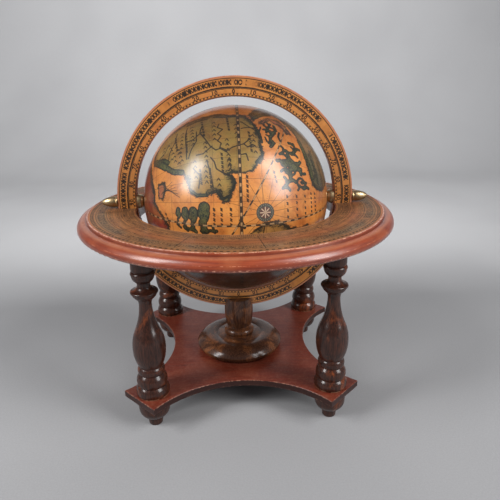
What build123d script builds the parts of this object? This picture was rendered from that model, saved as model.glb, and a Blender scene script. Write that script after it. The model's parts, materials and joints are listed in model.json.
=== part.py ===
from build123d import *
import math
import os

# Desktop globe on a four-legged wooden stand. Millimetres, +Z up.
# The origin is on the table, under the middle of the stand. The globe's polar axis lies along X.

# ---- driving dimensions ----------------------------------------------------------------------
horizon_radius = 110.0
horizon_top = 137.5
horizon_thickness = 9.2
hole_radius = 70.5

globe_radius = 64.5
map_thickness = 0.4
shell_wall = 3.5

meridian_centre_z = 141.7
meridian_radius = 83.3
meridian_inner_radius = 70.0
meridian_wood_thickness = 6.0
scale_thickness = 0.25

paper_radius = 102.3
paper_thickness = 0.3
paper_recess = 0.5

shelf_top = 24.3
shelf_thickness = 4.5
shelf_corner_long = 80.0
shelf_corner_short = 57.5
shelf_waist = 51.3

leg_offset = 60.2
tenon_radius = 4.0
leg_socket_depth = 8.5
leg_tenon_length = 5.0

axle_radius = 1.5
axle_clearance = 0.05
finial_radius = 3.75
finial_collar_radius = 3.95
finial_length = 11.6
finial_grip = 5.0
spacer_radius = 5.0
spacer_length = 4.7

running_gap = 0.3
pole_hole_radius = 4.0
collar_width = 14.0
collar_wall = 3.0

pedestal_radius = 32.6
pedestal_height = 11.2
column_top = 65.0
column_tenon_radius = 6.0
screw_length = 22.0
screw_radius = 1.75
screw_head_radius = 3.6

# ---- derived dimensions ----------------------------------------------------------------------
horizon_bottom = horizon_top - horizon_thickness
paper_floor = horizon_top - paper_recess
shelf_bottom = shelf_top - shelf_thickness
meridian_thickness = meridian_wood_thickness + 2 * scale_thickness
slot_width = meridian_thickness + 2 * running_gap
slot_floor = meridian_centre_z - meridian_radius - running_gap
shell_radius = globe_radius - map_thickness
shell_inner_radius = shell_radius - shell_wall
bore_radius = axle_radius + axle_clearance
axle_half_length = meridian_radius + finial_grip
base_top = shelf_top + pedestal_height

CORNERS = {
    "front_left": (-leg_offset, -leg_offset),
    "front_right": (leg_offset, -leg_offset),
    "back_left": (-leg_offset, leg_offset),
    "back_right": (leg_offset, leg_offset),
}
POLES = {"north": 1, "south": -1}


# ---- helpers ---------------------------------------------------------------------------------
def turned(outline):
    """Solid turned about Z from (radius, height, bulge) steps, closed back along the axis.

    bulge is the sagitta of the arc that ends at the step: 0 is straight, above 0 swells outward,
    below 0 is a hollow.
    """
    edges = []
    for (r0, z0, _), (r1, z1, bulge) in zip(outline, outline[1:]):
        if bulge:
            chord = math.hypot(r1 - r0, z1 - z0)
            middle_r = (r0 + r1) / 2 + bulge * (z1 - z0) / chord
            middle_z = (z0 + z1) / 2 - bulge * (r1 - r0) / chord
            edges.append(ThreePointArc((r0, 0, z0), (middle_r, 0, middle_z), (r1, 0, z1)))
        else:
            edges.append(Line((r0, 0, z0), (r1, 0, z1)))
    first_r, first_z, _ = outline[0]
    last_r, last_z, _ = outline[-1]
    if last_r > 0:
        edges.append(Line((last_r, 0, last_z), (0, 0, last_z)))
    edges.append(Line((0, 0, last_z), (0, 0, first_z)))
    if first_r > 0:
        edges.append(Line((0, 0, first_z), (first_r, 0, first_z)))
    return revolve(make_face(Curve() + edges), Axis.Z, 360)


def crest_bulge(depth, span):
    """Sagitta of an arc that rises by depth over span and lies flat at its crest."""
    radius = (depth ** 2 + span ** 2) / (2 * depth)
    return radius - math.sqrt(radius ** 2 - (depth ** 2 + span ** 2) / 4)


def upright(radius, bottom, top):
    """Round bar about Z between two heights."""
    return Pos(0, 0, (bottom + top) / 2) * Cylinder(radius, top - bottom)


def crosswise(radius, start, end):
    """Round bar along the polar axis, at the meridian's centre height."""
    bar = Cylinder(radius, abs(end - start))
    return Pos((start + end) / 2, 0, meridian_centre_z) * Rot(0, 90, 0) * bar


def onto_pole(solid, sign):
    """Turn a solid built up +Z about the origin so that it points out along the polar axis."""
    return Pos(0, 0, meridian_centre_z) * Rot(0, 90 * sign, 0) * solid


def half_space(sign):
    """Block that holds everything on one side of the equator's plane."""
    size = 4 * globe_radius
    return Pos(sign * size / 2, 0, meridian_centre_z) * Box(size, size, size)


def ball(radius):
    """Sphere at the globe's centre, with its poles on the polar axis."""
    return Pos(0, 0, meridian_centre_z) * Rot(0, 90, 0) * Sphere(radius)


def placed(solid, corner):
    """Move a leg or foot to its corner of the stand."""
    x, y = CORNERS[corner]
    return Pos(x, y, 0) * solid


# ---- horizon ---------------------------------------------------------------------------------
def meridian_notches(bottom, top):
    """The two slots, open to the central hole, that let the meridian ring through."""
    reach = meridian_radius + 2 * running_gap
    height = top - bottom
    return Pos(0, 0, (bottom + top) / 2) * Box(2 * reach, slot_width, height)


def horizon_ring():
    """Broad flat ring: seat for the paper, a narrow groove and one full roll round its edge."""
    lip_outer = paper_radius + 0.9
    roll_inner = lip_outer + 0.9
    groove_z = horizon_top - 1.7
    widest_z = groove_z - 5.6
    lower_round = widest_z - horizon_bottom
    blank = turned([
        (horizon_radius - lower_round, horizon_bottom, 0),
        (horizon_radius, widest_z, crest_bulge(lower_round, lower_round)),
        (roll_inner, groove_z, crest_bulge(horizon_radius - roll_inner, groove_z - widest_z)),
        (lip_outer + 0.3, groove_z, 0),
        (lip_outer, horizon_top - 0.3, 0),
        (lip_outer - 0.3, horizon_top, crest_bulge(0.3, 0.3)),
    ])
    ring = blank - upright(hole_radius, horizon_bottom - 1, horizon_top + 1)
    ring -= upright(paper_radius, paper_floor, horizon_top + 1)
    ring -= meridian_notches(horizon_bottom - 1, horizon_top + 1)
    for x, y in CORNERS.values():
        ring -= Pos(x, y, 0) * upright(tenon_radius, horizon_bottom - 1, horizon_bottom + leg_tenon_length)
    return ring


def horizon_paper():
    """Printed ring glued into the horizon's seat."""
    top = paper_floor + paper_thickness
    paper = upright(paper_radius, paper_floor, top) - upright(hole_radius + 0.6, paper_floor - 1, top + 1)
    return paper - meridian_notches(paper_floor - 1, top + 1)


# ---- stand -----------------------------------------------------------------------------------
def leg():
    """Baluster: base bead, two rings, vase, disc, bead and a plain top with its tenon."""
    belly_radius = 10.7
    vase_foot = 8.0
    shaft = turned([
        (10.6, shelf_top, 0),
        (9.9, 30.8, 0.85),
        (9.4, 31.5, 0),
        (8.6, 39.6, 1.15),
        (8.2, 40.2, 0),
        (8.0, 45.6, 0.85),
        (vase_foot, 46.3, 0),
        (belly_radius, 58.3, crest_bulge(belly_radius - vase_foot, 12.0)),
        (8.3, 71.5, 0.75),
        (4.05, 89.5, -0.9),
        (5.2, 93.8, -0.35),
        (8.2, 97.7, 0.45),
        (7.9, 99.6, 0.75),
        (4.6, 101.6, -0.35),
        (4.3, 105.0, -0.25),
        (7.3, 109.9, 0.8),
        (6.6, 112.5, 0.75),
        (6.5, 113.1, 0),
        (7.2, 114.0, 0.2),
        (7.2, horizon_bottom, 0),
    ])
    socket = upright(tenon_radius, shelf_top - 1, shelf_top + leg_socket_depth)
    tenon = upright(tenon_radius, horizon_bottom, horizon_bottom + leg_tenon_length)
    return shaft + tenon - socket


def foot():
    """Turned bun foot, whose tenon passes through the shelf into the leg."""
    body = turned([
        (4.1, 0.0, 0),
        (4.7, 0.9, 0.15),
        (4.9, 5.2, 0.1),
        (5.4, 6.0, -0.1),
        (10.4, 12.4, 1.2),
        (9.9, shelf_bottom, 0.35),
    ])
    tenon = upright(tenon_radius, shelf_bottom, shelf_top + leg_socket_depth)
    return body + tenon


def shelf():
    """Square shelf with cut-off corners and four hollow sides."""
    long, short, waist = shelf_corner_long, shelf_corner_short, shelf_waist
    edges = []
    for turn in range(4):
        quarter = Rot(0, 0, 90 * turn)
        edges.append(quarter * ThreePointArc((-short, -long), (0, -waist), (short, -long)))
        edges.append(quarter * Line((short, -long), (long, -short)))
    plate = Pos(0, 0, shelf_bottom) * extrude(make_face(Curve() + edges), shelf_thickness)
    plate = chamfer(plate.faces().sort_by(Axis.Z)[-1].edges(), 0.35)
    for x, y in CORNERS.values():
        plate -= Pos(x, y, 0) * upright(tenon_radius, shelf_bottom - 1, shelf_top + 1)
    return plate - pedestal_screw_body()


def pedestal_base():
    """Low domed bun that spreads the pedestal on the shelf."""
    widest_z = shelf_top + 4.8
    foot_inset = 3.4
    dome = turned([
        (pedestal_radius - foot_inset, shelf_top, 0),
        (pedestal_radius, widest_z, crest_bulge(foot_inset, widest_z - shelf_top)),
        (17.0, base_top - 1.1, 3.0),
        (11.4, base_top, 0),
    ])
    return dome - upright(column_tenon_radius, shelf_top - 1, base_top + 1)


def pedestal_column():
    """Slightly swelling post with a bead at its foot and a slot that holds the meridian ring."""
    post = turned([
        (10.5, base_top, 0),
        (9.3, 40.2, 1.5),
        (8.5, 40.7, 0),
        (8.5, 41.9, 0),
        (9.7, 42.8, 0),
        (9.9, column_top - 0.3, 1.05),
        (9.6, column_top, 0),
    ])
    post += upright(column_tenon_radius, shelf_top, base_top)
    slot_height = column_top + 1 - slot_floor
    post -= Pos(0, 0, slot_floor + slot_height / 2) * Box(4 * pedestal_radius, slot_width, slot_height)
    return post - pedestal_screw_body()


def pedestal_screw_body():
    """Countersunk screw, up through the shelf into the pedestal's tenon."""
    head_height = screw_head_radius - screw_radius
    return turned([
        (screw_head_radius, shelf_bottom, 0),
        (screw_radius, shelf_bottom + head_height, 0),
        (screw_radius, shelf_bottom + screw_length - 2.5, 0),
        (0, shelf_bottom + screw_length, 0),
    ])


def pedestal_screw():
    """The screw with the driver slot in its head."""
    return pedestal_screw_body() - Pos(0, 0, shelf_bottom) * Box(2 * screw_head_radius, 1.0, 1.6)


# ---- meridian --------------------------------------------------------------------------------
def upright_annulus(outer, inner, thickness, y):
    """Flat ring in the plane of the meridian, centred at y."""
    flat = Cylinder(outer, thickness) - Cylinder(inner, 2 * thickness)
    return Pos(0, y, meridian_centre_z) * Rot(90, 0, 0) * flat


def meridian_ring():
    """Flat wooden ring that carries the axle."""
    ring = upright_annulus(meridian_radius, meridian_inner_radius, meridian_wood_thickness, 0)
    ring = chamfer(ring.edges().filter_by(GeomType.CIRCLE), 0.4)
    return ring - crosswise(axle_radius, -meridian_radius - 1, meridian_radius + 1)


def meridian_scale(sign):
    """Printed degree scale glued to one face of the meridian ring."""
    y = sign * (meridian_wood_thickness + scale_thickness) / 2
    margin = 0.5
    return upright_annulus(meridian_radius - margin, meridian_inner_radius + margin, scale_thickness, y)


def finial(sign):
    """Bullet-shaped brass nut on the end of the axle: collar, groove, long pointed nose."""
    start = meridian_radius
    groove_radius = 3.4
    tip_radius = 1.7
    tip_length = 1.0
    widest = start + 3.2
    nose_end = start + finial_length - tip_length
    nut = turned([
        (finial_collar_radius - 0.3, start, 0),
        (finial_collar_radius, start + 0.6, crest_bulge(0.3, 0.6)),
        (finial_collar_radius - 0.3, start + 1.2, crest_bulge(0.3, 0.6)),
        (groove_radius, start + 1.5, 0),
        (finial_radius, widest, crest_bulge(finial_radius - groove_radius, widest - start - 1.5)),
        (tip_radius, nose_end, crest_bulge(finial_radius - tip_radius, nose_end - widest)),
        (0, start + finial_length, crest_bulge(tip_length, tip_radius)),
    ])
    return onto_pole(nut, sign) - crosswise(axle_radius, 0, sign * axle_half_length)


def pole_spacer(sign):
    """Domed brass washer between the globe's pole and the meridian ring."""
    start = globe_radius + 0.5
    end = start + spacer_length
    crown_radius = 2.9
    rim = 1.4
    dome = turned([
        (crown_radius, start, 0),
        (spacer_radius, end - rim, crest_bulge(spacer_radius - crown_radius, spacer_length - rim)),
        (spacer_radius, end, 0),
    ])
    return onto_pole(dome, sign) - crosswise(axle_radius, 0, sign * (end + 1))


def axle_rod():
    """Steel rod through both poles and the meridian ring."""
    return crosswise(axle_radius, -axle_half_length, axle_half_length)


# ---- globe -----------------------------------------------------------------------------------
def globe_shell(sign):
    """Hollow half of the ball, open at the equator, with a hole at its pole."""
    half = (ball(shell_radius) - ball(shell_inner_radius)) & half_space(sign)
    return half - crosswise(pole_hole_radius, 0, sign * 2 * globe_radius)


def globe_map(sign):
    """Varnished printed skin over one half of the ball."""
    half = (ball(globe_radius) - ball(shell_radius)) & half_space(sign)
    return half - crosswise(pole_hole_radius, 0, sign * 2 * globe_radius)


def equator_collar():
    """Hoop inside the ball that joins its two halves."""
    hoop = ball(shell_inner_radius) - crosswise(shell_inner_radius - collar_wall, -globe_radius, globe_radius)
    return hoop & (Pos(0, 0, meridian_centre_z) * Box(collar_width, 4 * globe_radius, 4 * globe_radius))


def pole_plug(sign):
    """Wooden bush in the pole: a flange inside the shell, a neck through it and the axle's bore."""
    flange_start = shell_inner_radius - 6.0
    flange = onto_pole(upright(9.0, flange_start, shell_inner_radius - 1.0), sign)
    neck = onto_pole(upright(pole_hole_radius, flange_start, globe_radius), sign)
    return flange + neck - crosswise(bore_radius, 0, sign * 2 * globe_radius)


# ---- write every piece -----------------------------------------------------------------------
pieces = {
    "horizon_ring": horizon_ring(),
    "horizon_paper": horizon_paper(),
    "shelf": shelf(),
    "pedestal_base": pedestal_base(),
    "pedestal_column": pedestal_column(),
    "pedestal_screw": pedestal_screw(),
    "meridian_ring": meridian_ring(),
    "meridian_scale_front": meridian_scale(-1),
    "meridian_scale_back": meridian_scale(1),
    "axle_rod": axle_rod(),
    "equator_collar": equator_collar(),
}
for corner in CORNERS:
    pieces[f"leg_{corner}"] = placed(leg(), corner)
    pieces[f"foot_{corner}"] = placed(foot(), corner)
for pole, sign in POLES.items():
    pieces[f"finial_{pole}"] = finial(sign)
    pieces[f"pole_spacer_{pole}"] = pole_spacer(sign)
    pieces[f"globe_shell_{pole}"] = globe_shell(sign)
    pieces[f"globe_map_{pole}"] = globe_map(sign)
    pieces[f"pole_plug_{pole}"] = pole_plug(sign)

os.makedirs("parts", exist_ok=True)
for name, solid in pieces.items():
    export_step(solid, os.path.join("parts", name + ".step"))
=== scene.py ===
import json
import math

import bpy
import numpy as np
from mathutils import Matrix, Vector


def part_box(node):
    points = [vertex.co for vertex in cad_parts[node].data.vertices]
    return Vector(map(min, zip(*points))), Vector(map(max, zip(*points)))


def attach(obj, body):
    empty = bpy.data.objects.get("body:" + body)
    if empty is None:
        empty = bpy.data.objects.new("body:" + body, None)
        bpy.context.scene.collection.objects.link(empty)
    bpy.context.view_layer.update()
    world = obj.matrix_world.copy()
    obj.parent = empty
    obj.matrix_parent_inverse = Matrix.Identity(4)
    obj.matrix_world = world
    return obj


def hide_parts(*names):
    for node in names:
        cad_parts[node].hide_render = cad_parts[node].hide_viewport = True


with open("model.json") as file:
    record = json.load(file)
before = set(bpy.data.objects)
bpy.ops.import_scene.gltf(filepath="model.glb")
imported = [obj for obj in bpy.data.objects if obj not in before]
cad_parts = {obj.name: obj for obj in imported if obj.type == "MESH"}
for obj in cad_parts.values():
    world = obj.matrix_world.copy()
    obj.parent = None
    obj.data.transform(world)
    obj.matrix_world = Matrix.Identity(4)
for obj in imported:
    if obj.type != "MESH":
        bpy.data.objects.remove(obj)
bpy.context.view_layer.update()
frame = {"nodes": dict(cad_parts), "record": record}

# A desktop globe with a level polar axis, in a meridian ring on a four-legged wooden stand.
# Places are metres. Lengths inside materials, and the names that end in _MM, are millimetres.
MM = 0.001

# ---- places read from the frame ----
globe_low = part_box("globe_map_south")[0]
globe_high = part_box("globe_map_north")[1]
GLOBE_RADIUS = (globe_high.z - globe_low.z) / 2
GLOBE_HEIGHT = (globe_high.z + globe_low.z) / 2
POLE_GAP = math.degrees(math.acos(globe_high.x / GLOBE_RADIUS))

rim_low, rim_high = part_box("horizon_ring")
paper_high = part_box("horizon_paper")[1]
shelf_low, shelf_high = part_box("shelf")
hoop_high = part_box("meridian_ring")[1]
scale_low, scale_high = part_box("meridian_scale_front")
base_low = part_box("pedestal_base")[0]

GLOBE_RADIUS_MM = GLOBE_RADIUS / MM
MM_PER_DEGREE = GLOBE_RADIUS_MM * math.pi / 180
PAPER_EDGE_MM = paper_high.x / MM
SCALE_OUTER_MM = scale_high.x / MM

# ---- sizes that only the print has ----
PAPER_LAYER = 0.4 * MM
SCALE_INNER_MM = 70.5
NUMERAL_RADIUS = 73.35 * MM
NUMERAL_SIZE = 3.8 * MM
GORES = 12
GRID_STEP = 0.5  # degrees between the points of a gore's grid


def rgb(red, green, blue):
    """Linear colour, with alpha, of a screen shade given from 0 to 255."""
    shares = [part / 255 for part in (red, green, blue)]
    linear = [s / 12.92 if s <= 0.04045 else ((s + 0.055) / 1.055) ** 2.4 for s in shares]
    return (*linear, 1.0)


INK = rgb(38, 27, 16)


def on_sphere(lat, lon):
    """Unit vectors for a latitude and longitude. North is +X, and east is down at the front."""
    a, o = np.radians(lat), np.radians(lon)
    return np.stack([np.sin(a), -np.cos(a) * np.cos(o), -np.cos(a) * np.sin(o)], -1)


# ---- material graphs ----
class Graph:
    """One material's nodes, made by short calls. Lengths in the graph are millimetres."""

    def __init__(self, name):
        self.material = bpy.data.materials.new(name)
        self.material.use_nodes = True
        self.tree = self.material.node_tree
        self.shader = self.tree.nodes["Principled BSDF"]
        metres = self.node("TexCoord").outputs["Object"]
        self.place = self.vector("SCALE", metres, scale=1 / MM)
        self.x, self.y, self.z = self.node("SeparateXYZ", self.place).outputs

    def put(self, socket, value):
        """Links an output to the socket, or sets the socket to a plain value."""
        if isinstance(value, bpy.types.NodeSocket):
            self.tree.links.new(value, socket)
        else:
            socket.default_value = value

    def node(self, kind, *values, **settings):
        """A new node, with its settings and its first inputs."""
        made = self.tree.nodes.new("ShaderNode" + kind)
        for key, value in settings.items():
            setattr(made, key, value)
        for socket, value in zip(made.inputs, values):
            self.put(socket, value)
        return made

    def math(self, operation, *values):
        return self.node("Math", *values, operation=operation).outputs[0]

    def vector(self, operation, *values, scale=None):
        made = self.node("VectorMath", *values, operation=operation)
        if scale is not None:
            self.put(made.inputs["Scale"], scale)
        return made.outputs["Value" if operation == "DOT_PRODUCT" else "Vector"]

    def axes(self, x, y, z):
        return self.node("CombineXYZ", x, y, z).outputs[0]

    def stretched(self, x, y, z, place=None):
        """A place, by default the object's own, scaled along each axis."""
        return self.vector("MULTIPLY", self.place if place is None else place, (x, y, z))

    def polar(self, across, up):
        """Distance from the axis, and degrees round from up towards across."""
        squares = self.math("ADD", self.times(across, across), self.times(up, up))
        return self.math("SQRT", squares), self.math("DEGREES", self.math("ARCTAN2", across, up))

    def scaled(self, value, factor, offset):
        """The value times a factor, plus an offset."""
        return self.math("MULTIPLY_ADD", value, factor, offset)

    def times(self, *values):
        product = values[0]
        for value in values[1:]:
            product = self.math("MULTIPLY", product, value)
        return product

    def most(self, *values):
        top = values[0]
        for value in values[1:]:
            top = self.math("MAXIMUM", top, value)
        return top

    def gap(self, value, middle):
        """How far value is from middle, to either side."""
        return self.math("ABSOLUTE", self.math("SUBTRACT", value, middle))

    def step(self, value, low, high):
        """Rises smoothly from 0 where value is low to 1 where it is high; low may be the larger."""
        return self.node("MapRange", value, low, high, interpolation_type="SMOOTHSTEP").outputs[0]

    def near(self, gap, half, soft):
        """1 where gap is under half, else 0, with an edge that is soft to both sides."""
        return self.step(gap, half + soft, max(half - soft, 0))

    def within(self, value, middle, half, soft=0.1):
        """1 where value lies within half of middle, else 0."""
        return self.near(self.gap(value, middle), half, soft)

    def repeat(self, value, period, half, soft=0.1):
        """1 within half of each multiple of period, else 0."""
        return self.near(self.math("PINGPONG", value, period / 2), half, soft)

    def blocks(self, value, period):
        """Blocks and gaps of equal length: 1 in each block, and 0 between them."""
        return self.repeat(value, period, period / 4, period / 50)

    def noise(self, scale, detail=3.0, rough=0.55, place=None, twist=0.0):
        made = self.node("TexNoise")
        self.put(made.inputs["Vector"], self.place if place is None else place)
        self.put(made.inputs["Scale"], scale)
        self.put(made.inputs["Detail"], detail)
        self.put(made.inputs["Roughness"], rough)
        self.put(made.inputs["Distortion"], twist)
        return made.outputs["Fac"]

    def mix(self, factor, first, second, blend="MIX"):
        """The first colour where factor is 0, and the second, or their blend, where it is 1."""
        made = self.node("Mix", data_type="RGBA", blend_type=blend)
        self.put(made.inputs[0], factor)
        self.put(made.inputs[6], first)
        self.put(made.inputs[7], second)
        return made.outputs[2]

    def attribute(self, name, output="Fac"):
        return self.node("Attribute", attribute_name=name).outputs[output]

    def finish(self, colour, roughness, height, depth, **uniform):
        """Joins the colour, the roughness and a bump depth high; the rest are plain numbers."""
        bump = self.node("Bump")
        self.put(bump.inputs["Strength"], 1.0)
        self.put(bump.inputs["Distance"], depth * MM)
        self.put(bump.inputs["Height"], height)
        self.put(self.shader.inputs["Base Color"], colour)
        self.put(self.shader.inputs["Roughness"], roughness)
        self.put(self.shader.inputs["Normal"], bump.outputs[0])
        for name, value in uniform.items():
            self.put(self.shader.inputs[name.replace("_", " ").title().replace("Ior", "IOR")], value)
        return self.material


# ---- wood, metal and board ----
def painted_wood(name, body, deep, worn, wear_and_light, grain_axis=(0.05, 0.05, 1.0), coat=0.45):
    """Red-brown stain over wood: streaky, dulled in patches, rubbed pale in scuffs, then each part's
    marks of wear and of painted light.
    """
    g = Graph(name)
    streaks = g.noise(1.1, 5, 0.65, g.stretched(*grain_axis))
    patches = g.noise(0.055, 3)
    colour = g.mix(g.step(streaks, 0.35, 0.7), body, deep)
    colour = g.mix(g.times(g.step(patches, 0.42, 0.66), 0.55), colour, worn)
    scuffs = g.step(g.noise(0.9, 6, 0.7, twist=0.6), 0.66, 0.72)
    colour = g.mix(g.times(scuffs, 0.35), colour, worn)
    # Each part's wear, plus painted shade and a painted highlight on the rim, and painted shade on the
    # shelf.
    for mask, shade in wear_and_light(g):
        colour = g.mix(mask, colour, shade)
    roughness = g.scaled(g.noise(0.25, 4, 0.7), 0.3, 0.25)
    height = g.math("ADD", g.times(streaks, 0.5), g.times(scuffs, -0.4))
    return g.finish(
        colour, roughness, height, 0.05, coat_weight=coat, coat_roughness=0.28, specular_ior_level=0.25
    )


def rim_wear(g):
    """Horizon ring: painted shade in groove and low rim, painted highlight on roll top, scratch, rubbed
    lip, chipped low edge.
    """
    radius, angle = g.polar(g.x, g.y)
    top, low, outer = rim_high.z / MM, rim_low.z / MM, rim_high.x / MM
    round_it = g.axes(g.times(angle, 1.9), radius, g.z)
    ragged = g.noise(0.45, 5, 0.7, round_it)
    fine = g.noise(0.9, 5, 0.75, g.stretched(0.5, 1, 1, round_it))
    # Painted shade darkens the groove.
    sunk = g.step(g.z, top - 0.6, top - 1.1)
    groove = g.times(g.within(radius, PAPER_EDGE_MM + 1.3, 0.55, 0.15), sunk)
    past_groove = g.step(radius, PAPER_EDGE_MM + 1.7, PAPER_EDGE_MM + 2.3)
    # Painted highlight along the top of the roll.
    roll_highlight = g.times(g.within(g.z, top - 2.1, 0.4, 0.5), past_groove)
    scratch = g.times(g.within(g.z, low + 4.1, 0.05, 0.18), g.step(ragged, 0.5, 0.62))
    past_paper = g.step(radius, PAPER_EDGE_MM - 0.4, PAPER_EDGE_MM - 0.1)
    lip = g.times(g.step(g.z, top - 0.35, top - 0.1), past_paper, g.step(fine, 0.46, 0.56))
    low_edge = g.times(g.within(g.z, low + 1.3, 0.6, 0.3), g.step(radius, outer - 5, outer - 3))
    chipped = g.times(low_edge, g.step(fine, 0.51, 0.59))
    # Painted shade darkens the lower part of the rim.
    under = g.step(g.z, low + 4.2, low + 1.6)
    return [
        (g.times(under, 0.5), rgb(92, 34, 24)),
        (g.times(groove, 0.45), rgb(88, 34, 20)),
        (g.times(roll_highlight, ragged, 0.55), rgb(206, 142, 104)),
        (g.times(scratch, 0.8), rgb(225, 150, 115)),
        (g.times(lip, 0.8), rgb(232, 180, 150)),
        (g.times(chipped, 0.8), rgb(214, 150, 122)),
    ]


def shelf_wear(g):
    """Long fine scratches over the shelf, painted shade on its sides, and its rubbed top and bottom
    edges.
    """
    top, low = shelf_high.z / MM, shelf_low.z / MM
    scratches = g.step(g.noise(1.4, 6, 0.8, g.stretched(0.06, 1.0, 1.0), 0.4), 0.64, 0.7)
    # Painted shade: the shelf's sides are darkened.
    side = g.step(g.z, top - 0.1, top - 0.5)
    ragged = g.noise(0.5, 5, 0.75)
    rubbed = g.times(g.within(g.z, top - 0.35, 0.25, 0.2), g.step(ragged, 0.47, 0.6))
    lower = g.times(g.within(g.z, low + 0.3, 0.3, 0.2), g.step(ragged, 0.5, 0.62))
    return [
        (g.times(scratches, 0.35), rgb(150, 104, 84)),
        (g.times(side, 0.9), rgb(38, 23, 20)),
        (g.times(rubbed, 0.7), rgb(176, 128, 104)),
        (g.times(lower, 0.35), rgb(150, 112, 92)),
    ]


def hoop_wear(g):
    """Edges of the meridian ring, rubbed through to pale wood."""
    ragged = g.noise(0.6, 5, 0.7)
    half_thickness = hoop_high.y / MM
    towards_edge = g.step(g.math("ABSOLUTE", g.y), half_thickness - 0.6, half_thickness + 0.1)
    corners = g.times(towards_edge, g.step(ragged, 0.42, 0.6))
    return [(g.times(corners, 0.6), rgb(214, 160, 128))]


def turned_wood(name, deep, pale, amber, rubbed):
    """Dark stained turned wood: long grain, lathe lines, amber where the stain has rubbed away."""
    g = Graph(name)
    grain = g.noise(1.2, 6, 0.65, g.stretched(1.0, 1.0, 0.09), 0.5)
    flecks = g.step(g.noise(2.2, 3, 0.6, g.stretched(1.0, 1.0, 0.14)), 0.6, 0.7)
    broad = g.noise(0.075, 4, 0.6, g.stretched(1.0, 1.0, 0.8), 0.8)
    lathe = g.noise(3.0, 2, 0.5, g.stretched(0.02, 0.02, 1.0))
    colour = g.mix(g.step(grain, 0.35, 0.68), deep, pale)
    bare = g.times(g.step(broad, 0.56 - rubbed, 0.76 - rubbed), g.step(grain, 0.3, 0.6))
    colour = g.mix(g.times(bare, 0.8), colour, amber)
    colour = g.mix(g.times(flecks, 0.35), colour, rgb(22, 13, 11))
    on_shelf = g.within(g.z, base_low.z / MM + 0.4, 0.4, 0.2)
    foot = g.times(on_shelf, g.step(g.noise(0.4, 4), 0.4, 0.55))
    colour = g.mix(g.times(foot, 0.8), colour, rgb(158, 118, 92))
    roughness = g.scaled(g.noise(0.2, 4, 0.7), 0.25, 0.4)
    height = g.math("ADD", g.times(grain, 0.5), g.times(lathe, 0.5))
    return g.finish(
        colour, roughness, height, 0.06, coat_weight=0.8, coat_roughness=0.21, specular_ior_level=0.08
    )


def aged_brass():
    """Dull brass with brown tarnish and fine turning marks."""
    g = Graph("aged_brass")
    tarnish = g.step(g.noise(0.35, 5, 0.7), 0.42, 0.7)
    marks = g.noise(2.5, 3, 0.6, g.stretched(4.0, 0.3, 0.3))
    colour = g.mix(g.times(tarnish, 0.65), rgb(196, 172, 132), rgb(122, 98, 70))
    colour = g.mix(g.times(g.step(marks, 0.5, 0.75), 0.4), colour, rgb(150, 128, 96))
    return g.finish(colour, g.scaled(tarnish, 0.2, 0.32), marks, 0.02, metallic=1.0)


def plain_steel():
    """Drawn steel with long fine scratches."""
    g = Graph("plain_steel")
    drawn = g.noise(4.0, 3, 0.6, g.stretched(0.1, 1.0, 0.1))
    colour = g.mix(g.step(drawn, 0.35, 0.7), rgb(150, 148, 144), rgb(96, 93, 90))
    return g.finish(colour, g.scaled(drawn, 0.25, 0.22), drawn, 0.01, metallic=1.0)


def core_board():
    """Pressed fibre board under the printed map."""
    g = Graph("core_board")
    fibre = g.noise(1.6, 6, 0.75, twist=1.5)
    colour = g.mix(g.step(fibre, 0.35, 0.65), rgb(118, 92, 64), rgb(78, 58, 40))
    return g.finish(colour, g.scaled(fibre, 0.2, 0.7), fibre, 0.1)


# ---- printed papers ----
def aged(g, colour, amount):
    """Old varnish: brown blotches and small dark specks over a print."""
    blotch = g.step(g.noise(0.07, 5, 0.65, twist=0.6), 0.42, 0.72)
    colour = g.mix(g.times(blotch, amount), colour, rgb(150, 110, 82), "MULTIPLY")
    specks = g.step(g.noise(1.6, 4, 0.8), 0.68, 0.74)
    return g.mix(g.times(specks, 0.45), colour, INK)


def varnish(g, colour, height, roughness, coat, gloss=0.4):
    """Satin varnish over paper, finely crackled."""
    rough = g.scaled(g.noise(0.3, 4, 0.7), 0.2, roughness - 0.1)
    crackle = g.within(g.noise(1.1, 5, 0.7, twist=0.8), 0.5, 0.012, 0.02)
    cracked = g.math("SUBTRACT", height, g.times(crackle, 0.5))
    lumps = g.scaled(g.noise(2.4, 4, 0.7), 0.6, cracked)
    return g.finish(
        colour, rough, lumps, 0.03, coat_weight=coat, coat_roughness=0.23, specular_ior_level=gloss
    )


def lozenge_chain(g, radius, angle):
    """Mask of uneven lozenges and bars, in runs with gaps between, where a real scale has names."""
    period = 2.4
    drift = g.noise(0.22, 2, 0.5, g.axes(angle, 0.0, 9.0))
    drawn = g.math("ADD", angle, g.scaled(drift, 5.0, -2.5))
    along = g.gap(g.math("PINGPONG", drawn, period), period / 2)
    away = g.gap(radius, SCALE_OUTER_MM - 3.7)
    lozenge = g.within(g.math("ADD", g.times(along, 2.0), away), 1.6, 0.6, 0.15)
    bars = g.times(g.repeat(drawn, period, 0.4), g.step(away, 1.8, 1.6))
    runs = g.step(g.noise(0.045, 1, 0.4, g.axes(angle, 0.0, 0.0)), 0.4, 0.43)
    pieces = g.step(g.noise(0.3, 1, 0.4, g.axes(angle, 0.0, 5.0)), 0.33, 0.36)
    return g.times(g.most(lozenge, bars), runs, pieces, g.step(away, 1.9, 1.7))


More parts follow.
